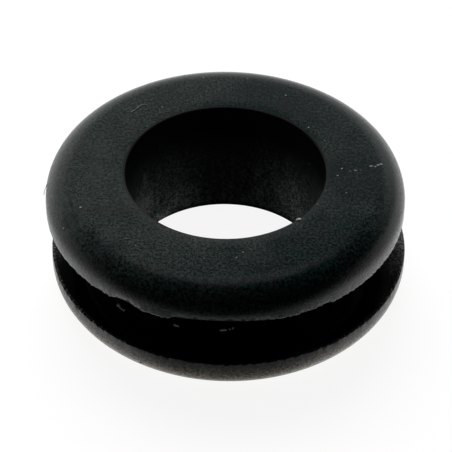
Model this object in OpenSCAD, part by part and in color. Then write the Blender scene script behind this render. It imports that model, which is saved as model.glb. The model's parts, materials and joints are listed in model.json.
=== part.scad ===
// Open rubber grommet, moulded in one piece: two round flanges on a short neck, with a plain
// bore for a cable. The panel that it lines sits in the groove between the flanges.
// Lengths are in millimetres. The bore runs along Z, and the lower face lies on Z = 0.

/* [Bore] */
// Diameter of the bore that the cable passes through
bore_d = 10; // [6:0.1:11]
// Radius of the bore's two mouths
mouth_round = 0.1; // [0.05:0.05:0.3]

/* [Flanges] */
// Outer diameter of each flange
flange_d = 18; // [16.6:0.1:24]
// Thickness of each flange, from its face to the panel groove
flange_t = 2; // [1.6:0.05:3.5]
// Radius that rolls each face over to its rim
rim_round = 1.45; // [0.5:0.05:1.5]

/* [Panel groove] */
// Diameter of the neck, which fills the hole in the panel
neck_d = 14; // [12.8:0.1:15]
// Width of the groove that holds the panel's edge
groove_w = 2.6; // [0.8:0.1:6]
// Fillet between the neck and each flange
root_fillet = 0.2; // [0.05:0.05:0.35]

/* [Mould] */
// How far the lower flange's half of the mould sat off the bore's axis, along X
mould_offset = 0.18; // [0:0.02:0.3]

/* [Hidden] */
$fn = 128;
rubber = "#26292a";
bore_r = bore_d / 2;
neck_r = neck_d / 2;
flange_r = flange_d / 2;
height = 2 * flange_t + groove_w;
// Straight part of the rim, between the groove's sharp corner and the rolled edge
rim_land = flange_t - rim_round;
// The flanges join the sleeve halfway through its wall
seam_r = (bore_r + neck_r) / 2;

// Half section of the sleeve, from the bore to the bottom of the groove.
// X is the radius and Y the height, and both mouths are rounded.
module sleeve_section() {
    straight = height - 2 * mouth_round;
    translate([bore_r + mouth_round, 0]) square([neck_r - bore_r - mouth_round, height]);
    translate([bore_r, mouth_round]) square([neck_r - bore_r, straight]);
    for (y = [mouth_round, height - mouth_round])
        translate([bore_r + mouth_round, y]) circle(mouth_round);
}

// Half section of a flange. Y rises from the groove side, which ends in a sharp corner,
// past the rim's land and round the rolled edge to the flat face.
module flange_section() {
    intersection() {
        translate([seam_r, 0]) square([flange_r - seam_r, flange_t]);
        union() {
            square([flange_r, rim_land]);
            square([flange_r - rim_round, flange_t]);
            translate([flange_r - rim_round, rim_land]) circle(rim_round);
        }
    }
}

// Half section of the fillet that runs round the neck where it meets a flange's groove side
module root_section() {
    difference() {
        translate([seam_r, 0]) square([neck_r + root_fillet - seam_r, root_fillet]);
        translate([neck_r + root_fillet, root_fillet]) circle(root_fillet);
    }
}

// Bore wall and neck, from face to face
module sleeve() {
    rotate_extrude() sleeve_section();
}

// One flange, its groove side on Z = 0 and its face upwards
module flange() {
    rotate_extrude() flange_section();
}

// One root fillet, standing on a flange's groove side at Z = 0
module root() {
    rotate_extrude() root_section();
}

module grommet() {
    color(rubber)
        union() {
            sleeve();
            translate([0, 0, height - flange_t]) flange();
            translate([mould_offset, 0, flange_t]) mirror([0, 0, 1]) flange();
            translate([0, 0, height - flange_t]) mirror([0, 0, 1]) root();
            translate([0, 0, flange_t]) root();
        }
}

grommet();
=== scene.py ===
"""Looks of an open rubber grommet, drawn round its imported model.

The grommet is one moulding of black rubber: two round flanges on a short neck, with a panel
groove between them and a plain bore. Its body is revolved from its section and given what a
mould leaves behind: halves that did not quite line up, a ragged parting edge and thin flash.
Lint and dust lie on it, as on any rubber part that has been handled.

Lengths are in metres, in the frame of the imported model, unless a name ends in _mm or _deg.
"""

import json
import logging
import math
from collections.abc import Callable
from dataclasses import dataclass, replace
from enum import Enum
from functools import partial, reduce

import bpy
from bpy.types import (ID, Material, Mesh, Node, NodeOutputs, NodeSocket, NodeTree, Object,
                       World)
from mathutils import Matrix, Vector


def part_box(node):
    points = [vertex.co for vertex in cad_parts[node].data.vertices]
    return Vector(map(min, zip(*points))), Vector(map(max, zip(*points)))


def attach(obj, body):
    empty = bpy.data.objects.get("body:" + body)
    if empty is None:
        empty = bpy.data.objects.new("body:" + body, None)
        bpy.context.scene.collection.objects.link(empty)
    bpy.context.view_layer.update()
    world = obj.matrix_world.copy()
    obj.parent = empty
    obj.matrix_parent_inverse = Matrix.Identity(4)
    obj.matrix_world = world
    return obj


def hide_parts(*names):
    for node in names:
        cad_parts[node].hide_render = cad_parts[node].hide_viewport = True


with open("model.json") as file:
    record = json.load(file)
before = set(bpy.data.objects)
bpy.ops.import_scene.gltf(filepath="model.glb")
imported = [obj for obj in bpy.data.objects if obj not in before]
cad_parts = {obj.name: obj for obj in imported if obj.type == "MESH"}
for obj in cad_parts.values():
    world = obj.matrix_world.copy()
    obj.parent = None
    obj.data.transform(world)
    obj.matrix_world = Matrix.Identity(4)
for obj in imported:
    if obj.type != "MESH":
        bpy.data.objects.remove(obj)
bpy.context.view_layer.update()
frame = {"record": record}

MM = 0.001
# Points of a revolved sheet that are closer than this become one
WELD = 1e-6
# How many pixels wide the camera's frame is
FRAME_WIDTH = 452
BODY = "root"
NODE = "grommet"
LOG = logging.getLogger("grommet")

# Adds a node to one tree: add_node with its tree given
Adder = Callable[..., Node]
# What an input is linked to: an output, or a node, which stands for its first one in use
Source = Node | NodeSocket
# A Map Range's numbers: where it starts and ends, and what it gives at each end
Span = tuple[float, ...]
Place = tuple[float, float, float]

# What a node's type name may start with, in the order to try
FAMILIES = ("GeometryNode", "FunctionNode", "ShaderNode", "Node")
# The kind of tree input that holds each type of value
SOCKETS = {int: "NodeSocketInt", float: "NodeSocketFloat", Material: "NodeSocketMaterial",
           Object: "NodeSocketObject"}


def linear(code: str) -> tuple[float, float, float, float]:
    """Turns an sRGB hex colour into linear red, green, blue and alpha.

    Args:
        code: Six hex digits after a hash sign, such as "#26292a".

    Returns:
        The linear colour, with alpha 1.
    """
    parts = [int(code[i:i + 2], 16) / 255 for i in (1, 3, 5)]
    low = 0.04045
    return tuple(p / 12.92 if p <= low else ((p + 0.055) / 1.055) ** 2.4 for p in parts) + (1.0,)


def add_node(tree: NodeTree, kind: str, *inputs: object, **settings: object) -> Node:
    """Adds one node to a tree, with its settings, values and links.

    Args:
        tree: The shader or geometry tree that gets the node.
        kind: The node's type without its family's name, and its operation after a colon.
        inputs: Values and sources, in the order of the inputs in use, and then, where there
            are more, one dict of them under the inputs' names.
        settings: Other properties of the node.

    Returns:
        The new node.
    """
    kind, _, operation = kind.partition(":")
    family = next(name for name in FAMILIES if hasattr(bpy.types, name + kind))
    node = tree.nodes.new(family + kind)
    if operation:
        node.operation = operation
    for name, value in settings.items():
        setattr(node, name, value)
    ordered = [value for value in inputs if not isinstance(value, dict)]
    used = [socket for socket in node.inputs if socket.enabled]
    pairs = list(zip(used, ordered))
    for named in inputs[len(ordered):]:
        pairs += [(node.inputs[name], value) for name, value in named.items()]
    for socket, value in pairs:
        if isinstance(value, Node):
            value = next(output for output in value.outputs if output.enabled)
        if isinstance(value, NodeSocket):
            tree.links.new(value, socket)
        else:
            socket.default_value = value
    return node


def blank(owner: Material | World) -> Adder:
    """Empties a material's or a world's tree, for its own nodes.

    Args:
        owner: The material or the world.

    Returns:
        What adds a node to the tree.
    """
    owner.use_nodes = True
    owner.node_tree.nodes.clear()
    return partial(add_node, owner.node_tree)


def new_tree(name: str, values: dict[str, object]) -> tuple[Adder, NodeOutputs]:
    """Starts a Geometry Nodes tree with a named input for each value.

    Args:
        name: The tree's name.
        values: What the tree's inputs will be set to, under their names.

    Returns:
        What adds a node to the tree, and the tree's inputs, as its nodes are given them.
    """
    tree = bpy.data.node_groups.new(name, "GeometryNodeTree")
    for way in ("INPUT", "OUTPUT"):
        tree.interface.new_socket("Geometry", in_out=way, socket_type="NodeSocketGeometry")
    for label, value in values.items():
        tree.interface.new_socket(label, in_out="INPUT", socket_type=SOCKETS[type(value)])
    add = partial(add_node, tree)
    return add, add("GroupInput").outputs


def finish_tree(add: Adder, given: NodeOutputs, made: Source) -> NodeTree:
    """Ends a tree: smooth faces, nothing left as an instance, and the material.

    Args:
        add: Adds a node to the tree.
        given: The tree's inputs, with a Material among them.
        made: The geometry to end with.

    Returns:
        The tree.
    """
    smooth = add("SetShadeSmooth", made, {"Shade Smooth": True})
    realised = add("RealizeInstances", smooth)
    dressed = add("SetMaterial", realised, {"Material": given["Material"]})
    add("GroupOutput", dressed)
    return given[0].id_data


def wire(name: str, places: list[Place], edges: list[tuple[int, int]],
         said: dict[str, list[float]]) -> Mesh:
    """Makes the points and edges that a tree starts from.

    Args:
        name: The mesh's name.
        places: The points.
        edges: Pairs of points, by number.
        said: The points' attributes: each one's values under its name.

    Returns:
        The mesh.
    """
    mesh = bpy.data.meshes.new(name)
    mesh.from_pydata(places, edges, [])
    for label, values in said.items():
        kind = "INT" if isinstance(values[0], int) else "FLOAT"
        mesh.attributes.new(label, kind, "POINT").data.foreach_set("value", values)
    return mesh


def closed(count: int) -> list[tuple[int, int]]:
    """Lists the edges that join so many points in a ring."""
    return [(i, (i + 1) % count) for i in range(count)]


def linked(name: str, data: ID) -> Object:
    """Makes an object and links it to the scene.

    Args:
        name: The object's name.
        data: Its mesh, camera or light.

    Returns:
        The object.
    """
    made = bpy.data.objects.new(name, data)
    bpy.context.scene.collection.objects.link(made)
    return made


def grow(name: str, start: Mesh, tree: NodeTree, values: dict[str, object]) -> Object:
    """Runs a Geometry Nodes tree on a mesh, keeps the result as a plain mesh and reports it.

    Args:
        name: The finished piece's name.
        start: The mesh that the tree starts from.
        tree: The tree, which ends in realised geometry with its material.
        values: The tree's inputs, under their names.

    Returns:
        The finished piece, at the origin and without a modifier, riding on the body.
    """
    piece = linked(name, start)
    modifier = piece.modifiers.new("grow", "NODES")
    modifier.node_group = tree
    for item in tree.interface.items_tree:
        if item.in_out == "INPUT" and item.name in values:
            modifier[item.identifier] = values[item.name]
    piece.update_tag()
    bpy.context.view_layer.update()
    evaluated = piece.evaluated_get(bpy.context.evaluated_depsgraph_get())
    mesh = bpy.data.meshes.new_from_object(evaluated)
    mesh.name = name
    if mesh.materials[0] is None:
        mesh.materials.pop(index=0)
    piece.modifiers.clear()
    piece.data = mesh
    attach(piece, BODY)
    LOG.info("%s: %d faces", name, len(mesh.polygons))
    return piece


def radial(add: Adder) -> tuple[Source, Source, Source]:
    """Reads where each point lies round the grommet's axis.

    Args:
        add: Adds a node to the geometry tree.

    Returns:
        The unit vector out from the axis, the height and the radius.
    """
    split = add("SeparateXYZ", add("InputPosition"))
    flat = add("CombineXYZ", split.outputs["X"], split.outputs["Y"])
    radius = add("VectorMath:LENGTH", flat)
    return (add("VectorMath:NORMALIZE", flat), split.outputs["Z"], radius)


def revolve(add: Adder, outline: Source, slices: Source, carried: tuple[str, ...]) -> Source:
    """Wraps a sheet of faces round the axis, one row of it for each slice of the turn.

    Args:
        add: Adds a node to the geometry tree.
        outline: A closed section as a curve, with the radius along X and the height along Y.
        slices: How many slices make the whole turn.
        carried: The section's attributes that the wrapped sheet keeps.

    Returns:
        The closed ring.
    """
    place = add("InputPosition")
    index = add("InputIndex")
    points = add("AttributeDomainSize", outline, component="CURVE").outputs["Point Count"]
    rows = add("Math:ADD", slices, 1.0)
    columns = add("Math:ADD", points, 1.0)
    ring = add("MeshGrid", {"Vertices X": rows, "Vertices Y": columns})
    row = add("Math:DIVIDE", index, columns)
    slice_number = add("Math:FLOOR", row)
    share = add("Math:DIVIDE", slice_number, slices)
    turn = add("Math:MULTIPLY", share, math.tau)
    column = add("Math:MODULO", index, columns)
    step = add("Math:MODULO", column, points)
    drawn = add("SampleIndex", outline, place, step, data_type="FLOAT_VECTOR")
    split = add("SeparateXYZ", drawn)
    across = add("CombineXYZ", {"X": split.outputs["X"], "Z": split.outputs["Y"]})
    turned = add("VectorRotate", across, {"Angle": turn}, rotation_type="Z_AXIS")
    for name in carried:
        read = add("InputNamedAttribute", name)
        value = add("SampleIndex", outline, read, step)
        ring = add("StoreNamedAttribute", ring, {"Name": name, "Value": value})
    wrapped = add("SetPosition", ring, {"Position": turned})
    return add("MergeByDistance", wrapped, {"Distance": WELD})


@dataclass(frozen=True)
class Smear:
    """A soft round patch on the rubber: its middle, how far it reaches and how strong it is."""

    x_mm: float
    y_mm: float
    z_mm: float
    reach_mm: float
    strength: float

    def share(self, add: Adder, place: Source) -> Source:
        """Gives the patch's share at each place, from 0 to its strength.

        Args:
            add: Adds a node to the material's tree.
            place: The place in the grommet's frame.

        Returns:
            The share.
        """
        middle = (self.x_mm * MM, self.y_mm * MM, self.z_mm * MM)
        away = add("VectorMath:DISTANCE", place, middle)
        return add("MapRange", away, self.reach_mm * MM, 0.0, 0.0, self.strength,
                   interpolation_type="SMOOTHSTEP")


# Patches with less of the upper flange's bloom, or, below zero, more of it
BLOOM_LOST = (Smear(2.2, 5.6, 6.6, 4.6, 0.8), Smear(4.4, -6.6, 6.6, 4.8, 1.0),
              Smear(-3.0, -7.6, 6.6, 2.5, 0.3), Smear(7.5, 0.5, 6.6, 4.0, 0.3),
              Smear(-1.7, -5.0, 6.6, 1.6, -0.4), Smear(1.5, -5.0, 6.6, 1.6, -0.4),
              Smear(0.5, -7.6, 6.6, 2.6, 0.35), Smear(-4.0, 6.9, 6.6, 2.8, 0.4))
# Painted light from the floor below, as pale patches on the bore's wall; the last three
# make one vertical painted highlight streak
BORE_PAINTED_LIGHT = (Smear(-4.4, 2.4, 1.7, 1.9, 1.0), Smear(3.9, 3.1, 1.6, 2.2, 0.4),
         Smear(-2.4, 4.4, 0.9, 1.6, 0.15), Smear(4.9, 0.4, 3.2, 2.0, 0.25),
         Smear(-3.5, 3.6, 0.0, 1.0, 0.9), Smear(-4.15, 2.79, 4.0, 0.3, 0.5),
         Smear(-4.13, 2.82, 3.6, 0.35, 0.6), Smear(-4.12, 2.84, 3.2, 0.35, 0.6))
# Pale dust that settled at the lower flange's two sides
SETTLED = (Smear(9.2, -1.2, 2.0, 2.3, 0.2), Smear(8.2, -4.2, 2.0, 1.6, 0.06),
           Smear(9.2, 0.2, 2.0, 1.6, 0.5), Smear(-9.0, -0.6, 2.0, 1.7, 0.22))
# Where the upper corner tore lately, and is not rubbed pale
TORN_DARK = (Smear(-0.7, -8.9, 4.8, 3.0, 1.0), Smear(-2.6, -8.6, 4.8, 1.6, 0.4))


@dataclass(frozen=True)
class MouldedRubber:
    """Black nitrile rubber, pressed in a bead-blasted steel mould.

    The eye sees a near-black surface with a green cast, broken up by an even pale grain. It is
    matt from above and turns pale at a low angle. A thin grey bloom lies on it in clouds, with a
    painted gradient in it that makes the upper face lighter towards -X and darker towards +X as
    the light falls. The groove and the bore are painted near black as shade, and the bore is
    duller. Low on the bore's wall lies painted light from the floor below, most of it to the
    sides, with a painted shadow gap at the lowest rim. Warm grey dust lies low on the lower
    flange, more of it towards -Y, where the pale band is also painted light from the floor in
    front, and pale dust has settled at the sides.
    The groove's sharp edges are smoother, and rubbed paler. The blasted grain of about 0.05 mm
    is as fine as shows, so coarser grains of up to 0.15 mm are added to it.
    """

    pit: str = "#020504"
    top: str = "#182b29"
    bloom: str = "#37423e"
    tint: str = "#1f191d"
    # Painted shade: the near black painted on the groove and the bore
    shade_black: str = "#020303"
    # Painted light from the floor below, on the bore's lower wall
    painted_floor_light: str = "#768580"
    # Pale colour for dust at the lower flange's sides and for painted light in the bore
    pale_dust_and_light: str = "#a3a1a8"
    # Warm grey dust low on the lower flange, with painted light from the floor in front
    dust_and_floor_light: str = "#c2b490"
    scuff: str = "#75897c"
    ior: float = 1.4
    polished: float = 0.14
    dull: float = 0.28
    groove_gloss: float = 0.12
    bore_dull: float = 0.45
    rubbed: float = 0.4
    lower_clean: float = 0.95
    grain_mm: float = 0.15
    cloud_mm: float = 1.5
    tint_mm: float = 1.3
    streak_mm: float = 0.3
    streak_draw: float = 0.16
    grain_depth_mm: float = 0.027
    flange_top: float = 2.1 * MM
    peak_span: Span = (0.46, 0.56)
    speck_span: Span = (0.44, 0.62)
    speckled_span: Span = (0.0, 1.0, 0.1)
    tint_span: Span = (0.44, 0.64, 0.0, 0.35)
    cloud_span: Span = (0.35, 0.65, 0.0, 0.7)
    streak_span: Span = (0.35, 0.6, 0.6)
    # Painted light: more bloom towards -X, so that side of the face is lighter, as the light
    # falls
    side_light_span: Span = (9.0 * MM, -9.0 * MM)
    side_light_gain: float = 1.1
    bloom_span: Span = (0.1, 1.6, 0.0, 0.8)
    rough_span: Span = (0.1, 1.5)
    groove_span: Span = (0.0, 0.08, 1.0, 0.0)
    bore_span: Span = (0.97, 1.0)
    edge_span: Span = (0.2, 1.0)
    # Where the painted floor light lies in the bore: low down and most of it to the sides
    floor_light_height: Span = (5.2 * MM, 3.2 * MM)
    floor_light_side: Span = (0.5 * MM, 5.0 * MM, 0.15)
    # Painted shadow gap: the bore's lowest rim keeps the painted black
    shadow_gap_height: Span = (0.15 * MM, 0.35 * MM)
    # The low pale band: dust, and painted floor light that grows towards -Y
    dust_and_light_height: Span = (1.8 * MM, 0.6 * MM, 0.03)
    dust_and_light_depth: Span = (4.0 * MM, -4.0 * MM, 0.35)
    planed_height: Span = (6.5 * MM, 5.9 * MM, 0.3)

    def material(self) -> Material:
        """Builds the material, which reads its piece's attributes edge, bore and groove.

        Returns:
            The material.
        """
        made = bpy.data.materials.new("moulded_nitrile_rubber")
        add = blank(made)
        place = add("TexCoord").outputs["Object"]
        edge, bore, groove = (add("Attribute", attribute_name=name).outputs["Fac"]
                              for name in ("edge", "bore", "groove"))
        drawn = add("Mapping", place, {"Scale": (1.0, 1.0, self.streak_draw)})
        across, depth, height = add("SeparateXYZ", place).outputs
        grain, clouds, tints, streaks = (
            add("TexNoise", vector, {
                "Scale": 1 / (size * MM), "Detail": detail, "Roughness": fine})
            for vector, size, detail, fine in (
                (place, self.grain_mm, 3.0, 0.95), (place, self.cloud_mm, 4.0, 0.6),
                (place, self.tint_mm, 2.0, 0.7), (drawn, self.streak_mm, 3.0, 0.6)))
        aside = add("Math:ABSOLUTE", across)
        (peaks, specks, tinted, cloudy, dragged, painted_side_light, outside, in_bore, at_edge, low_lit,
         above_shadow_gap, low_dust_and_light, off_face) = (
            add("MapRange", value, *span) for value, span in (
                (grain, self.peak_span), (grain, self.speck_span), (tints, self.tint_span),
                (clouds, self.cloud_span), (streaks, self.streak_span),
                (across, self.side_light_span), (groove, self.groove_span), (bore, self.bore_span),
                (edge, self.edge_span), (height, self.floor_light_height), (height, self.shadow_gap_height),
                (height, self.dust_and_light_height), (height, self.planed_height)))
        lit_to_sides, forward = (
            add("MapRange", value, *span, interpolation_type="SMOOTHSTEP")
            for value, span in ((aside, self.floor_light_side), (depth, self.dust_and_light_depth)))
        # Bloom in clouds, plus a painted gradient that lights the -X side and shades the +X side
        bloom_and_side_light = add("Math:MULTIPLY_ADD", painted_side_light, self.side_light_gain, cloudy)
        for mark in BLOOM_LOST:
            bloom_and_side_light = add("Math:SUBTRACT", bloom_and_side_light, mark.share(add, place))
        bloom_and_side_light_share = add("MapRange", bloom_and_side_light, *self.bloom_span)
        speckled = add("MapRange", peaks, *self.speckled_span)
        bore_painted_light, settled, torn_dark = (
            reduce(partial(add, "Math:ADD"), (mark.share(add, place) for mark in marks))
            for marks in (BORE_PAINTED_LIGHT, SETTLED, TORN_DARK))
        on_flange = add("Math:LESS_THAN", height, self.flange_top)
        unscuffed = add("Math:MULTIPLY_ADD", on_flange, self.lower_clean, torn_dark)
        kept = add("Math:SUBTRACT", 1.0, unscuffed, use_clamp=True)
        off_bore, in_groove = (
            add("Math:SUBTRACT", 1.0, mask) for mask in (in_bore, outside))

        colour = add("Mix", peaks, linear(self.pit), linear(self.top), data_type="RGBA")
        for factors, code in (
                # Bloom, with the painted side light in it
                ((bloom_and_side_light_share, speckled), self.bloom), ((tinted,), self.tint),
                # Painted shade: the groove and the bore are painted near black
                ((in_groove,), self.shade_black), ((in_bore,), self.shade_black),
                # Painted light from the floor below, streaked, low on the bore's wall
                ((dragged, low_lit, above_shadow_gap, lit_to_sides, in_bore, specks), self.painted_floor_light),
                # Painted light and a painted highlight streak on the bore's wall
                ((bore_painted_light, in_bore, speckled), self.pale_dust_and_light),
                # Dust, and painted light from the floor in front, low on the lower flange
                ((low_dust_and_light, on_flange, forward, outside, off_bore, peaks), self.dust_and_floor_light),
                ((settled, off_bore, speckled), self.pale_dust_and_light),
                ((at_edge, outside, peaks, kept), self.scuff)):
            share = reduce(partial(add, "Math:MULTIPLY"), factors)
            colour = add("Mix", share, colour, linear(code), data_type="RGBA")
        rough = add("MapRange", bloom_and_side_light, *self.rough_span, self.polished, self.dull)
        rubbed = add("Math:MULTIPLY", at_edge, self.rubbed)
        even = add("Math:MAXIMUM", in_groove, rubbed)
        gloss = add("Mix", even, rough, self.groove_gloss)
        sheen = add("Mix", in_bore, gloss, self.bore_dull)
        smooth = add("Math:MAXIMUM", even, in_bore)
        blasted = add("Math:SUBTRACT", 1.0, smooth)
        rise = add("Math:MULTIPLY", blasted, off_face)
        bump = add("Bump", {
            "Height": grain, "Strength": rise, "Distance": self.grain_depth_mm * MM})
        skin = add("BsdfPrincipled", {
            "Base Color": colour, "Roughness": sheen, "IOR": self.ior, "Normal": bump})
        add("OutputMaterial", skin)
        return made


@dataclass(frozen=True)
class TornRubber:
    """The same rubber where it tore off thin: black at its root, grey and dull at its tip."""

    root: str = "#090c0b"
    tip: str = "#363c39"
    ior: float = 1.3
    roughness: float = 0.42
    grain_mm: float = 0.12
    tip_span: Span = (0.5, 1.0)

    def material(self) -> Material:
        """Builds the material, which reads the attribute tip of its piece.

        Returns:
            The material.
        """
        made = bpy.data.materials.new("torn_nitrile_flash")
        add = blank(made)
        place = add("TexCoord").outputs["Object"]
        tip = add("Attribute", attribute_name="tip").outputs["Fac"]
        grain = add("TexNoise", place, {"Scale": 1 / (self.grain_mm * MM), "Detail": 2.0})
        share = add("MapRange", tip, *self.tip_span)
        worn = add("Math:MULTIPLY", share, grain)
        colour = add("Mix", worn, linear(self.root), linear(self.tip), data_type="RGBA")
        skin = add("BsdfPrincipled", {
            "Base Color": colour, "Roughness": self.roughness, "IOR": self.ior})
        add("OutputMaterial", skin)
        return made


@dataclass(frozen=True)
class Fluff:
    """Loose matter on the rubber: soft, matt and pale, uneven in colour from bit to bit.

    The colours are of cotton lint, of the talc that keeps new grommets from sticking, or of
    rubber flakes that are covered in it.
    """

    name: str
    pale: str
    dark: str
    patch_mm: float = 0.3
    patch_span: Span = (0.35, 0.65)
    roughness: float = 0.85

    def material(self) -> Material:
        """Builds the material.

        Returns:
            The material.
        """
        made = bpy.data.materials.new(self.name)
        add = blank(made)
        place = add("TexCoord").outputs["Object"]
        patches = add("TexNoise", place, {"Scale": 1 / (self.patch_mm * MM), "Detail": 2.0})
        share = add("MapRange", patches, *self.patch_span)
        colour = add("Mix", share, linear(self.dark), linear(self.pale), data_type="RGBA")
        skin = add("BsdfPrincipled", {"Base Color": colour, "Roughness": self.roughness})
        add("OutputMaterial", skin)
        return made


@dataclass(frozen=True)
class RimProfile:
    """A height that changes round a rim, in mm, with straight lines between its points.

    Azimuths run from -180 to 180 degrees, with 0 on -Y and 90 on +X.
    """

    points: tuple[tuple[float, float], ...]
    full_mm: float = 0.6

    def along(self, add: Adder) -> Source:
        """Gives the height at each point of the geometry.

        Args:
            add: Adds a node to the geometry tree.

        Returns:
            The height in metres.
        """
        split = add("SeparateXYZ", radial(add)[0])
        front = add("Math:MULTIPLY", split.outputs["Y"], -1.0)
        turn = add("Math:ARCTAN2", split.outputs["X"], front)
        share = add("Math:MULTIPLY_ADD", turn, 1 / math.tau, 0.5)
        curve = add("FloatCurve", {"Value": share})
        line = curve.mapping.curves[0]
        line.points[0].location = (0.0, 0.0)
        line.points[1].location = (1.0, 0.0)
        for azimuth_deg, height_mm in self.points:
            line.points.new(azimuth_deg / 360 + 0.5, height_mm / self.full_mm)
        for point in line.points:
            point.handle_type = "VECTOR"
        curve.mapping.update()
        return add("Math:MULTIPLY", curve, self.full_mm * MM)


class PartingEdge(Enum):
    """The two sharp edges where the mould parts, with the way from each into the groove."""

    UPPER = -1.0
    LOWER = 1.0


# How deep the corner is torn away, and how far the tear leans to the axis for its depth
TORN_AWAY = {
    PartingEdge.UPPER: RimProfile((
        (-118, 0.0), (-112, 0.06), (-104, 0.0), (-70, 0.0), (-55, 0.03), (-37.5, 0.04),
        (-35, 0.2), (-30.5, 0.2), (-27, 0.03), (-17.5, 0.0), (-15.5, 0.18), (-8, 0.22),
        (0, 0.22), (4, 0.2), (11, 0.14), (17, 0.05), (23, 0.02), (29, 0.05), (33.9, 0.11),
        (34.7, 0.0), (131, 0.0), (136, 0.09), (149, 0.05), (153, 0.0))),
    PartingEdge.LOWER: RimProfile((
        (-150, 0.0), (-143, 0.08), (-139, 0.0), (-95, 0.0), (-80, 0.04), (-64, 0.05),
        (-57, 0.08), (-50, 0.09), (-43, 0.06), (-36, 0.06), (-32, 0.02), (-30, 0.06),
        (-21, 0.0), (30, 0.0), (35, 0.06), (42, 0.09), (47.5, 0.08), (48.5, 0.13),
        (50, 0.08), (60, 0.08), (72, 0.06), (85, 0.03), (104, 0.07), (117, 0.0))),
}
TEAR_LEAN = 0.3
# Slivers of flash that were left hanging from a corner
LEFT_HANGING = {
    PartingEdge.UPPER: RimProfile((
        (-127, 0.0), (-125.5, 0.14), (-123, 0.0), (-66.5, 0.0), (-65.7, 0.08), (-64.7, 0.0),
        (-36, 0.0), (-35.2, 0.07), (-34.6, 0.0), (-17, 0.0), (-16, 0.06), (-15.4, 0.0),
        (33, 0.0), (34, 0.08), (35.2, 0.0), (141, 0.0), (143.5, 0.16), (145, 0.0))),
    PartingEdge.LOWER: RimProfile((
        (-95, 0.0), (-93, 0.06), (-91, 0.0), (47, 0.0), (47.8, 0.1), (49, 0.0),
        (162, 0.0), (163.5, 0.1), (166, 0.0))),
}


@dataclass(frozen=True)
class Corner:
    """One corner of a section: its place, its rounding, and what lies there, from 0 to 1."""

    radius: float
    height: float
    rounding: float
    steps: int
    edge: float = 0.0
    bore: float = 0.0
    groove: float = 0.0


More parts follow.
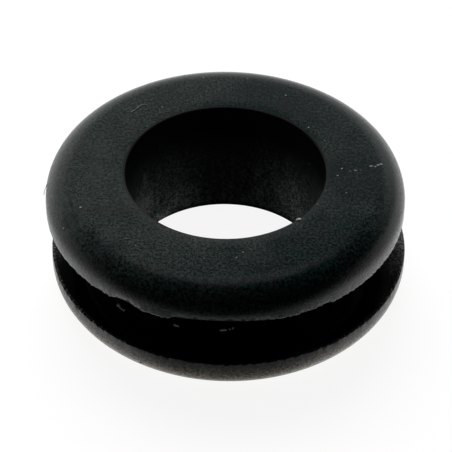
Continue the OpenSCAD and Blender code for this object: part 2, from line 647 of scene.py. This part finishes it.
@dataclass
class GrommetBody:
    """The moulding itself, revolved from its section.

    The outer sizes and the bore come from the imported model, and the sizes after them, as far
    as mould_offset, repeat its source. The rest says how worn it is and how finely it is drawn.
    """

    bore_r: float
    flange_r: float
    height: float
    neck_r: float = 7.0 * MM
    flange_t: float = 2.0 * MM
    rim_round: float = 1.45 * MM
    mouth_round: float = 0.1 * MM
    root_fillet: float = 0.2 * MM
    mould_offset: float = 0.18 * MM
    corner_break: float = 0.03 * MM
    rim_steps: int = 16
    fillet_steps: int = 5
    corner_steps: int = 3
    ripple: float = 0.09 * MM
    ripple_length: float = 0.2 * MM
    ripple_span: Span = (0.4, 0.7)
    nick: float = 0.12 * MM
    flat: float = 0.18 * MM
    tear_reach: float = 0.5 * MM
    slices: int = 900
    wall_step: float = 0.7 * MM

    @classmethod
    def from_frame(cls) -> "GrommetBody":
        """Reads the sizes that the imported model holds.

        Returns:
            The body, at those sizes.
        """
        low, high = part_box(NODE)
        bores = {m["name"]: m["dims"] for m in frame["record"]["mounts"]}
        return cls(bore_r=bores["cable_bore"]["r_mm"] * MM, flange_r=-low.x, height=high.z)

    def corner_height(self, edge: PartingEdge) -> float:
        """Gives the height of a parting edge, on the groove's side of its flange."""
        return self.flange_t if edge is PartingEdge.LOWER else self.height - self.flange_t

    def section(self) -> list[Corner]:
        """Lists the section's corners in order, with rows close to each parting edge.

        Returns:
            The corners, from the lower mouth of the bore to the upper one.
        """
        low = self.corner_height(PartingEdge.LOWER)
        depth = self.flange_r - self.neck_r
        on_land = 1.0 - self.nick / (self.flange_t - self.rim_round)
        ledge = [Corner(self.flange_r - inward, low, 0.0, 1, edge=1.0 - inward / depth,
                        groove=inward / depth) for inward in (self.nick, self.flat)]
        lower = [Corner(self.bore_r, 0.0, self.mouth_round, self.fillet_steps, bore=1.0),
                 Corner(self.flange_r, 0.0, self.rim_round, self.rim_steps),
                 Corner(self.flange_r, low - self.nick, 0.0, 1, edge=on_land),
                 Corner(self.flange_r, low, self.corner_break, self.corner_steps, edge=1.0),
                 *ledge,
                 Corner(self.neck_r, low, self.root_fillet, self.fillet_steps, groove=1.0)]
        return lower + [replace(c, height=self.height - c.height) for c in reversed(lower)]

    def start_mesh(self) -> Mesh:
        """Makes the section's closed outline, with what each corner says as attributes.

        Returns:
            The outline's points and edges.
        """
        corners = self.section()
        return wire("section", [(c.radius, c.height, 0.0) for c in corners],
                    closed(len(corners)), {
                        name: [getattr(c, name) for c in corners]
                        for name in ("rounding", "steps", "edge", "bore", "groove")})

    def outline(self, add: Adder, given: NodeOutputs) -> Source:
        """Rounds the section's corners and divides its long walls.

        Args:
            add: Adds a node to the tree that revolves the moulding.
            given: The tree's inputs.

        Returns:
            The section as a closed curve of short steps.
        """
        drawn = add("MeshToCurve", given["Geometry"])
        rounding, steps = (
            add("InputNamedAttribute", name, data_type=kind)
            for name, kind in (("rounding", "FLOAT"), ("steps", "INT")))
        rounded = add("FilletCurve", drawn, {
            "Radius": rounding, "Limit Radius": False, "Count": steps}, mode="POLY")
        place = add("InputPosition")
        index = add("InputIndex")
        size = add("AttributeDomainSize", rounded, component="CURVE")
        following = add("Math:ADD", index, 1.0)
        wrapped = add("Math:MODULO", following, size.outputs["Point Count"])
        ahead = add("SampleIndex", rounded, place, wrapped, data_type="FLOAT_VECTOR")
        gap = add("VectorMath:DISTANCE", place, ahead)
        pieces = add("Math:DIVIDE", gap, given["Wall Step"])
        cuts = add("Math:FLOOR", pieces)
        return add("SubdivideCurve", rounded, cuts)

    def wear(self, add: Adder, given: NodeOutputs, moulding: Source) -> Source:
        """Makes the parting edges ragged: a ripple all round, and corners torn away in places.

        Args:
            add: Adds a node to the tree that revolves the moulding.
            given: The tree's inputs.
            moulding: The closed moulding.

        Returns:
            The moulding with its two edges drawn back from the groove.
        """
        place = add("InputPosition")
        out, up, radius = radial(add)
        half = add("Math:MULTIPLY", given["Height"], 0.5)
        above = add("Math:GREATER_THAN", up, half)
        lost = add("Mix", above, TORN_AWAY[PartingEdge.LOWER].along(add),
                   TORN_AWAY[PartingEdge.UPPER].along(add))
        noise = add("TexNoise", place, {"Scale": 1 / self.ripple_length, "Detail": 3.0})
        ripple = add("MapRange", noise, *self.ripple_span, 0.0, self.ripple, clamp=False)
        inside = add("Math:SUBTRACT", given["Flange Radius"], radius)
        rise = add("Math:SUBTRACT", up, half)
        from_middle = add("Math:ABSOLUTE", rise)
        beyond = add("Math:SUBTRACT", from_middle, given["Groove Half"])
        from_corner = add("CombineXYZ", inside, beyond)
        away = add("VectorMath:LENGTH", from_corner)
        near, nearest = (add("MapRange", away, 0.0, given[reach], 1.0, 0.0)
                         for reach in ("Tear Reach", "Nick"))
        torn = add("Math:MULTIPLY", lost, near)
        back = add("Math:MULTIPLY_ADD", ripple, nearest, torn)
        side = add("MapRange", above, 0.0, 1.0, -1.0)
        inward = add("VectorMath:SCALE", out, -TEAR_LEAN)
        upward = add("CombineXYZ", {"Z": side})
        way = add("VectorMath:ADD", inward, upward)
        move = add("VectorMath:SCALE", way, back)
        return add("SetPosition", moulding, {"Offset": move})

    def shift(self, add: Adder, given: NodeOutputs, moulding: Source) -> Source:
        """Slides the lower flange sideways, as the two halves of the mould did not line up.

        Args:
            add: Adds a node to the tree that revolves the moulding.
            given: The tree's inputs.
            moulding: The closed moulding.

        Returns:
            The moulding with its lower flange off centre and its bore still straight.
        """
        _, up, radius = radial(add)
        fillet = given["Root Fillet"]
        root = add("Math:ADD", given["Neck Radius"], fillet)
        clear = add("Math:ADD", root, fillet)
        outward = add("MapRange", radius, root, clear, interpolation_type="SMOOTHSTEP")
        half = add("Math:MULTIPLY", given["Height"], 0.5)
        below = add("Math:LESS_THAN", up, half)
        share = add("Math:MULTIPLY", outward, below)
        slide = add("Math:MULTIPLY", share, given["Mould Offset"])
        move = add("CombineXYZ", slide)
        return add("SetPosition", moulding, {"Offset": move})

    def build(self, skin: Material) -> Object:
        """Rounds the section, revolves it, wears it, shifts it and lets it replace the solid.

        Args:
            skin: The rubber's material.

        Returns:
            The finished piece.
        """
        values = {
            "Slices": self.slices, "Wall Step": self.wall_step, "Height": self.height,
            "Neck Radius": self.neck_r, "Root Fillet": self.root_fillet,
            "Flange Radius": self.flange_r, "Groove Half": self.height / 2 - self.flange_t,
            "Tear Reach": self.tear_reach, "Nick": self.nick,
            "Mould Offset": self.mould_offset, "Material": skin}
        add, given = new_tree("revolved_moulding", values)
        plain = revolve(add, self.outline(add, given), given["Slices"],
                        ("edge", "bore", "groove"))
        shifted = self.shift(add, given, self.wear(add, given, plain))
        piece = grow("moulding", self.start_mesh(), finish_tree(add, given, shifted), values)
        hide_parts(NODE)
        return piece


@dataclass
class PartingFlash:
    """The thin skin of rubber that squeezed out between the mould's halves, and tore.

    It runs all round a parting edge as a fine ragged line, and hangs off it in a few places.
    Where the corner tore deeper than clean_tear, the flash went with it.
    """

    edge: PartingEdge
    body: GrommetBody
    thickness: float = 0.022 * MM
    sunk: float = 0.05 * MM
    inset: float = 0.8
    taper: float = 0.7
    knee_out: float = 0.04
    knee_down: float = 0.72
    knee_slant: float = 0.05
    tip_out: float = 0.2
    tip_slant: float = 0.03
    least: float = -0.05 * MM
    most: float = 0.06 * MM
    ragged_span: Span = (0.5, 0.8)
    tear_length: float = 0.9 * MM
    clean_tear: float = 0.15 * MM
    slices: int = 1200

    def start_mesh(self) -> Mesh:
        """Makes the closed section of the skin, with how each point follows its height.

        Returns:
            The section's points and edges.
        """
        low, thick = self.sunk, self.thickness
        root = self.body.flange_r - self.inset * thick
        # Radius, way back from the corner, shares of the height out and along, nearness to tip
        rows = ((root - thick, low, 0.0, 0.0, 0.0),
                (root - thick, 0.0, self.knee_out, self.knee_down, 0.5),
                (root - self.taper * thick, 0.0, self.tip_out, 1.0, 1.0),
                (root, 0.0, self.tip_out, 1.0 - self.tip_slant, 1.0),
                (root, 0.0, self.knee_out, self.knee_down - self.knee_slant, 0.5),
                (root, low, 0.0, 0.0, 0.0))
        if self.edge is PartingEdge.LOWER:
            rows = rows[::-1]
        middle = self.body.corner_height(self.edge)
        return wire("flash_section",
                    [(r, middle - back * self.edge.value, 0.0) for r, back, *_ in rows],
                    closed(len(rows)), {
                        name: [row[column] for row in rows]
                        for column, name in enumerate(("out", "along", "tip"), start=2)})

    def tree(self, values: dict[str, object]) -> NodeTree:
        """Builds the tree that revolves the skin and draws it out to its torn height.

        Args:
            values: What the tree's inputs will be set to.

        Returns:
            The tree.
        """
        add, given = new_tree("torn_flash", values)
        drawn = add("MeshToCurve", given["Geometry"])
        ring = revolve(add, drawn, given["Slices"], ("out", "along", "tip"))
        out, _, _ = radial(add)
        size = add("Math:DIVIDE", 1.0, given["Tear Length"])
        noise = add("TexNoise", out, {"Scale": size, "Detail": 6.0, "Roughness": 0.7})
        ragged = add("MapRange", noise, *self.ragged_span, given["Least"], given["Most"])
        hanging = add("Math:ADD", ragged, LEFT_HANGING[self.edge].along(add))
        torn = TORN_AWAY[self.edge].along(add)
        left = add("MapRange", torn, 0.0, self.clean_tear, 1.0, 0.0)
        height = add("Math:MULTIPLY", hanging, left)
        followed, along = (add("InputNamedAttribute", name) for name in ("out", "along"))
        leaning = add("Math:MULTIPLY", height, followed)
        across = add("Math:MULTIPLY_ADD", torn, -TEAR_LEAN, leaning)
        down = add("Math:MULTIPLY", height, along)
        drop = add("Math:SUBTRACT", down, torn)
        fall = add("Math:MULTIPLY", drop, self.edge.value)
        sideways = add("VectorMath:SCALE", out, across)
        upright = add("CombineXYZ", {"X": given["Slide"], "Z": fall})
        move = add("VectorMath:ADD", sideways, upright)
        return finish_tree(add, given, add("SetPosition", ring, {"Offset": move}))

    def build(self, skin: Material) -> Object:
        """Draws the flash round its edge.

        Args:
            skin: The torn rubber's material.

        Returns:
            The finished piece.
        """
        slide = self.body.mould_offset if self.edge is PartingEdge.LOWER else 0.0
        values = {
            "Slices": self.slices, "Least": self.least, "Most": self.most,
            "Tear Length": self.tear_length / self.body.flange_r, "Slide": slide,
            "Material": skin}
        piece = grow("flash_" + self.edge.name.lower(), self.start_mesh(), self.tree(values),
                     values)
        return piece


@dataclass(frozen=True)
class Crumb:
    """One listed bit, which settles on the surface nearest to the place given.

    It is width_mm wide and stretch times as long, and turned by turn_deg where it lies.
    """

    x_mm: float
    y_mm: float
    z_mm: float
    width_mm: float
    stretch: float = 1.0
    turn_deg: float = 0.0


# Crumbs of dust on the upper flange, on the bore's wall, in a trail at +X and low down at -X
DUST = (
    Crumb(-7.07, -2.84, 6.6, 0.11), Crumb(-7.87, -3.73, 6.0, 0.1),
    Crumb(-7.97, -3.94, 5.7, 0.07), Crumb(-4.74, -5.09, 6.6, 0.06),
    Crumb(-4.29, -5.58, 6.6, 0.05), Crumb(3.08, 6.07, 6.6, 0.09),
    Crumb(4.21, 3.46, 6.6, 0.08), Crumb(4.99, 2.43, 6.6, 0.06),
    Crumb(4.52, -2.5, 6.6, 0.07), Crumb(4.95, -1.44, 6.6, 0.05),
    Crumb(0.55, -6.39, 6.6, 0.07), Crumb(-1.18, 7.54, 6.6, 0.08),
    Crumb(1.12, 7.48, 6.6, 0.08), Crumb(3.56, -3.62, 6.6, 0.2, 1.5, 12.0),
    Crumb(4.28, 2.58, 4.95, 0.06), Crumb(4.11, 2.84, 3.93, 0.06),
    Crumb(0.03, 5.0, 5.91, 0.06), Crumb(-3.4, 3.67, 5.11, 0.05),
    Crumb(-4.37, 2.44, 5.99, 0.05),
    Crumb(7.26, 0.42, 6.6, 0.13, 1.5, 10.0), Crumb(7.47, 0.39, 6.59, 0.08, 1.8, -15.0),
    Crumb(7.62, 0.52, 6.58, 0.1, 1.6, 25.0), Crumb(7.77, 0.6, 6.57, 0.13, 1.2, 20.0),
    Crumb(6.2, 0.05, 6.6, 0.05, 2.6, 5.0), Crumb(6.48, 0.1, 6.6, 0.06, 2.8, 5.0),
    Crumb(6.72, 0.12, 6.6, 0.04, 2.2, 0.0), Crumb(5.56, -0.3, 6.6, 0.09, 1.5, 20.0),
    Crumb(5.8, 0.25, 6.6, 0.05, 2.2, 35.0), Crumb(-8.64, -0.68, 2.0, 0.06, 2.6, 0.0),
)
# Nibs of rubber that the mould left on the moulding
NIBS = (
    Crumb(-4.09, -7.79, 0.89, 0.11), Crumb(6.86, -6.02, 1.9, 0.12, 1.5, 45.0),
    Crumb(2.1, 8.72, 5.2, 0.13), Crumb(-3.4, 8.1, 1.0, 0.15),
)


@dataclass
class SurfaceBits:
    """Small bits on the moulding: some at listed places, and finer ones scattered by chance."""

    name: str
    placed: tuple[Crumb, ...]
    per_square_mm: float = 0.0
    finest_mm: float = 0.02
    coarsest_mm: float = 0.05
    longest: float = 2.2
    flatness: float = 0.6
    jag_mm: float = 0.05
    jag_share: float = 0.5
    seed: int = 7

    def start_mesh(self) -> Mesh:
        """Makes one point for each placed bit, with its size and turn as attributes.

        Returns:
            The points.
        """
        return wire(self.name + "_places",
                    [(c.x_mm * MM, c.y_mm * MM, c.z_mm * MM) for c in self.placed], [],
                    {"width": [c.width_mm * MM for c in self.placed],
                     "stretch": [c.stretch for c in self.placed],
                     "turn": [math.radians(c.turn_deg) for c in self.placed]})

    def scattered(self, add: Adder, given: NodeOutputs, surface: Source) -> Source:
        """Scatters the finer bits over the whole surface.

        Args:
            add: Adds a node to the geometry tree.
            given: The tree's inputs.
            surface: The moulding's faces.

        Returns:
            Points with a width, a stretch and a turn each.
        """
        points = add("DistributePointsOnFaces", surface, {
            "Density": given["Density"], "Seed": given["Seed"]}, distribute_method="RANDOM")
        ranges = (("width", given["Finest"], given["Coarsest"]), ("stretch", 1.0, self.longest),
                  ("turn", 0.0, math.tau))
        for number, (name, low, high) in enumerate(ranges):
            drawn = add("RandomValue", low, high, {"Seed": self.seed + number})
            points = add("StoreNamedAttribute", points, {"Name": name, "Value": drawn})
        return points

    def tree(self, values: dict[str, object]) -> NodeTree:
        """Builds the tree that lays a lump on the surface at every point.

        Args:
            values: What the tree's inputs will be set to.

        Returns:
            The tree.
        """
        add, given = new_tree(self.name, values)
        surface = add("ObjectInfo", given["Surface"]).outputs["Geometry"]
        near = add("Proximity", surface, target_element="FACES")
        points = add("MeshToPoints", given["Geometry"])
        settled = add("SetPosition", points, {"Position": near.outputs["Position"]})
        all_points = add("JoinGeometry")
        for part in (self.scattered(add, given, surface), settled):
            all_points.id_data.links.new(part.outputs[0], all_points.inputs[0])
        facing = add("InputNormal")
        normal = add("SampleNearestSurface", surface, facing, data_type="FLOAT_VECTOR")
        upright = add("AlignRotationToVector", {"Vector": normal}, axis="Z")
        width, stretch, turn = (
            add("InputNamedAttribute", name) for name in ("width", "stretch", "turn"))
        spin = add("AxisAngleToRotation", (0.0, 0.0, 1.0), turn)
        turned = add("RotateRotation", upright, spin, rotation_space="LOCAL")
        length = add("Math:MULTIPLY", width, stretch)
        thick = add("Math:MULTIPLY", width, given["Flatness"])
        scale = add("CombineXYZ", length, width, thick)
        lump = add("MeshIcoSphere", {"Radius": 0.5, "Subdivisions": 2})
        laid = add("InstanceOnPoints", all_points, {
            "Instance": lump, "Rotation": turned, "Scale": scale})
        loose = add("RealizeInstances", laid)
        place = add("InputPosition")
        noise = add("TexNoise", place, {"Scale": 1 / (self.jag_mm * MM), "Detail": 1.0})
        centred = add("VectorMath:SUBTRACT", noise.outputs["Color"], (0.5, 0.5, 0.5))
        push = add("Math:MULTIPLY", given["Coarsest"], self.jag_share)
        jag = add("VectorMath:SCALE", centred, push)
        return finish_tree(add, given, add("SetPosition", loose, {"Offset": jag}))

    def build(self, moulding: Object, skin: Material) -> Object:
        """Lays the bits on the moulding.

        Args:
            moulding: The finished moulding.
            skin: The bits' material.

        Returns:
            The finished piece.
        """
        values = {
            "Surface": moulding, "Density": self.per_square_mm / MM ** 2,
            "Finest": self.finest_mm * MM, "Coarsest": self.coarsest_mm * MM,
            "Flatness": self.flatness, "Seed": self.seed, "Material": skin}
        return grow(self.name, self.start_mesh(), self.tree(values), values)


# Two hairs, one on the upper face and one on its rolled edge at -X, in mm
LINT_PATHS = (
    ((-4.84, 4.62, 6.62), (-4.68, 4.74, 6.64), (-4.55, 4.9, 6.65), (-4.44, 5.06, 6.66),
     (-4.3, 5.16, 6.65), (-4.1, 5.2, 6.62)),
    ((-8.91, -0.02, 5.72), (-8.98, -0.2, 5.6), (-9.04, -0.36, 5.46), (-9.06, -0.5, 5.34)),
)
# Pale flakes that cling to the slivers below the upper corner, in mm
FLAKE_PATHS = (
    ((-5.16, -7.25, 4.26), (-4.98, -7.38, 4.18), (-4.8, -7.5, 4.13)),
    ((-5.12, -7.28, 4.34), (-5.02, -7.35, 4.27)),
    ((-2.42, -8.56, 4.25), (-2.3, -8.6, 4.22), (-2.18, -8.63, 4.2)),
    ((-0.22, -8.9, 4.21), (-0.06, -8.9, 4.24), (0.1, -8.9, 4.25)),
    ((0.22, -8.9, 4.28), (0.27, -8.9, 4.3)), ((0.36, -8.89, 4.33), (0.42, -8.89, 4.36)),
)
# Slivers of rubber that hang from the upper corner, in mm
SHRED_PATHS = (
    ((-5.1, -7.1, 4.95), (-5.14, -7.2, 4.6), (-5.16, -7.25, 4.26)),
    ((-2.4, -8.3, 4.9), (-2.42, -8.45, 4.55), (-2.42, -8.56, 4.25)),
    ((0.75, -8.7, 4.9), (0.6, -8.86, 4.5), (0.42, -8.89, 4.36), (0.24, -8.9, 4.29),
     (0.1, -8.9, 4.25)),
)


@dataclass
class Threads:
    """Fine threads that lie on the moulding or hang off it, each spun along its own path."""

    name: str
    paths_mm: tuple[tuple[Place, ...], ...]
    radius: float
    step: float = 0.04 * MM
    sides: int = 6

    def start_mesh(self) -> Mesh:
        """Makes the threads' paths.

        Returns:
            The paths' points and edges.
        """
        places, edges = [], []
        for path in self.paths_mm:
            first = len(places)
            places += [(x * MM, y * MM, z * MM) for x, y, z in path]
            edges += [(i, i + 1) for i in range(first, len(places) - 1)]
        return wire(self.name + "_paths", places, edges, {})

    def build(self, skin: Material) -> Object:
        """Spins a thread along each path.

        Args:
            skin: The threads' material.

        Returns:
            The finished piece.
        """
        values = {"Radius": self.radius, "Step": self.step, "Sides": self.sides,
                  "Material": skin}
        add, given = new_tree(self.name, values)
        drawn = add("MeshToCurve", given["Geometry"])
        flowing = add("CurveSplineType", drawn, spline_type="CATMULL_ROM")
        even = add("ResampleCurve", flowing, {"Length": given["Step"]}, mode="LENGTH")
        round_thread = add("CurvePrimitiveCircle", given["Sides"], given["Radius"])
        thread = add("CurveToMesh", even, round_thread, {"Fill Caps": True})
        return grow(self.name, self.start_mesh(), finish_tree(add, given, thread), values)


@dataclass
class Studio:
    """A white floor in a room that is white behind the grommet and dark on the camera's side.

    A soft lamp behind and above lights it at a plain level, and the camera looks down at it.
    """

    white: str = "#ffffff"
    camera_elevation_deg: float = 41.42
    camera_distance: float = 118.4 * MM
    lens_mm: float = 186.1
    sensor_mm: float = 36.0
    roll_deg: float = 0.38
    shift_x: float = 0.84 / FRAME_WIDTH
    shift_y: float = -5.34 / FRAME_WIDTH
    lamp_azimuth_deg: float = 190.0
    lamp_elevation_deg: float = 50.0
    lamp_distance: float = 0.5
    lamp_size: float = 0.46
    lamp_power: float = 2.5
    room_azimuth_deg: float = 187.0
    room_elevation_deg: float = 5.0
    wall_span: Span = (0.1, 1.0, 0.0, 0.82)
    room_span: Span = (0.71, 0.46)
    overhead_azimuth_deg: float = 180.0
    overhead_elevation_deg: float = 72.0
    overhead_span: Span = (0.885, 0.98, 0.0, 0.42)
    floor_reach: float = 2.0
    floor_lit: float = 0.15
    floor_glow: float = 0.9
    front_span: Span = (-14.6 * MM, -12.6 * MM, 0.0, 0.34)
    back_span: Span = (-9.8 * MM, -7.4 * MM, 0.0, 0.66)
    side_span: Span = (12.0 * MM, 20.0 * MM, 0.0, 0.55)
    side_depth: Span = (20.0 * MM, 0.0)
    front_bounce: float = 0.3
    bore_bounce: float = 0.5

    @staticmethod
    def towards(azimuth_deg: float, elevation_deg: float) -> Vector:
        """Gives the direction that lies at an azimuth, from the camera's side, and a height."""
        turn, rise = math.radians(azimuth_deg), math.radians(elevation_deg)
        return Vector((math.sin(turn) * math.cos(rise), -math.cos(turn) * math.cos(rise),
                       math.sin(rise)))

    def camera(self, middle: Vector) -> Object:
        """Aims the camera at the grommet's middle.

        Args:
            middle: The middle of the grommet.

        Returns:
            The camera.
        """
        lens = bpy.data.cameras.new("camera")
        lens.lens, lens.sensor_width = self.lens_mm, self.sensor_mm
        lens.clip_start, lens.clip_end = 0.01, 10.0
        lens.shift_x, lens.shift_y = self.shift_x, self.shift_y
        seen = linked("camera", lens)
        back = self.towards(0.0, self.camera_elevation_deg)
        aim = (-back).to_track_quat("-Z", "Y").to_matrix().to_4x4()
        aim = aim @ Matrix.Rotation(math.radians(self.roll_deg), 4, "Z")
        aim.translation = middle + back * self.camera_distance
        seen.matrix_world = aim
        bpy.context.scene.camera = seen
        return seen

    def lamp(self) -> Object:
        """Hangs the soft lamp, which has no glint of its own: the white room gives that.

        Returns:
            The lamp.
        """
        light = bpy.data.lights.new("soft_lamp", "AREA")
        light.shape, light.size, light.energy = "DISK", self.lamp_size, self.lamp_power
        hung = linked("soft_lamp", light)
        out = self.towards(self.lamp_azimuth_deg, self.lamp_elevation_deg)
        hung.location = out * self.lamp_distance
        hung.rotation_euler = out.to_track_quat("Z", "Y").to_euler()
        hung.visible_glossy = hung.visible_camera = False
        return hung

    def card(self, bore_r: float) -> Material:
        """Builds the floor's white card, which is in the shade on the camera's side.

        Args:
            bore_r: The radius of the patch that the grommet's bore shades.

        Returns:
            The material.
        """
        made = bpy.data.materials.new("white_card")
        add = blank(made)
        path = add("LightPath").outputs
        place = add("TexCoord").outputs["Object"]
        across, depth, _ = add("SeparateXYZ", place).outputs
        aside = add("Math:ABSOLUTE", across)
        in_front, beside, far_aside, forward = (
            add("MapRange", value, *span, interpolation_type="SMOOTHSTEP")
            for value, span in ((depth, self.front_span), (depth, self.back_span),
                                (aside, self.side_span), (depth, self.side_depth)))
        in_depth = add("Math:ADD", in_front, beside)
        shaded = add("Math:MULTIPLY", far_aside, forward)
        kept = add("Math:SUBTRACT", 1.0, shaded)
        behind = add("Math:MULTIPLY", in_depth, kept)
        radius = add("VectorMath:LENGTH", place)
        outside = add("Math:GREATER_THAN", radius, bore_r)
        open_floor = add("Math:MULTIPLY", outside, behind)
        given_back = add("Math:MAXIMUM", behind, self.front_bounce)
        bounced = add("Mix", outside, self.bore_bounce, given_back)
        mirrored = add("Math:MAXIMUM", path["Is Glossy Ray"], path["Is Transmission Ray"])
        reflected = add("Math:MULTIPLY", mirrored, open_floor)
        scattered = add("Math:MULTIPLY", path["Is Diffuse Ray"], bounced)
        indirect = add("Math:ADD", reflected, scattered)
        strength = add("Math:MULTIPLY_ADD", path["Is Camera Ray"], self.floor_glow, indirect)
        white = add("Math:MULTIPLY", path["Is Camera Ray"], self.floor_lit)
        matt = add("BsdfDiffuse", white)
        glow = add("Emission", linear(self.white), strength)
        add("OutputMaterial", add("AddShader", matt, glow))
        return made

    def floor(self, bore_r: float) -> Object:
        """Lays the white floor.

        Args:
            bore_r: The radius of the floor's patch that the grommet's bore shades.

        Returns:
            The floor.
        """
        reach = self.floor_reach
        mesh = bpy.data.meshes.new("floor")
        mesh.from_pydata([(-reach, -reach, 0), (reach, -reach, 0), (reach, reach, 0),
                          (-reach, reach, 0)], [], [(0, 1, 2, 3)])
        mesh.materials.append(self.card(bore_r))
        laid = linked("floor", mesh)
        return laid

    def room(self) -> World:
        """Makes the room: white low down behind the grommet, fading to dark in front.

        Returns:
            The room.
        """
        room = bpy.data.worlds.new("room")
        add = blank(room)
        place = add("TexCoord").outputs["Generated"]
        facing, upward = (
            add("VectorMath:DOT_PRODUCT", place, self.towards(azimuth_deg, elevation_deg))
            for azimuth_deg, elevation_deg in (
                (self.room_azimuth_deg, self.room_elevation_deg),
                (self.overhead_azimuth_deg, self.overhead_elevation_deg)))
        _, _, rise = add("SeparateXYZ", place).outputs
        wall, below, overhead = (
            add("MapRange", value, *span, interpolation_type="SMOOTHSTEP")
            for value, span in ((facing, self.wall_span), (rise, self.room_span),
                                (upward, self.overhead_span)))
        white = add("Math:MULTIPLY", wall, below)
        lit = add("Math:ADD", white, overhead)
        seen = add("LightPath").outputs["Is Camera Ray"]
        shown = add("Math:MAXIMUM", seen, lit)
        glow = add("Background", linear(self.white), shown)
        add("OutputWorld", glow)
        bpy.context.scene.world = room
        return room

    def build(self, middle: Vector, bore_r: float) -> None:
        """Sets up the camera, floor, lamp and room.

        Args:
            middle: The middle of the grommet.
            bore_r: The radius of its bore.
        """
        self.camera(middle)
        self.floor(bore_r)
        self.lamp()
        self.room()
        bpy.context.scene.view_settings.view_transform = "Standard"


def main() -> None:
    """Builds the grommet, what clings to it and its studio, in order."""
    logging.basicConfig(level=logging.INFO, format="%(name)s: %(message)s")
    rubber = MouldedRubber().material()
    torn = TornRubber().material()
    body = GrommetBody.from_frame()
    moulding = body.build(rubber)
    for edge in PartingEdge:
        PartingFlash(edge, body).build(torn)
    nibs = SurfaceBits("nibs", NIBS).build(moulding, rubber)
    SurfaceBits("dust", DUST, per_square_mm=0.04).build(
        moulding, Fluff("talc_dust", "#c9cdc8", "#6e736f").material())
    Threads("lint", LINT_PATHS, radius=0.014 * MM).build(
        Fluff("cotton_lint", "#b9bfbb", "#7c827e").material())
    Threads("flakes", FLAKE_PATHS, radius=0.055 * MM).build(
        Fluff("dusty_rubber_flake", "#a5a3a8", "#6c6a6e").material())
    shreds = Threads("shreds", SHRED_PATHS, radius=0.007 * MM).build(torn)
    Studio().build(Vector((0.0, 0.0, body.height / 2)), body.bore_r)


if __name__ == "__main__":
    main()
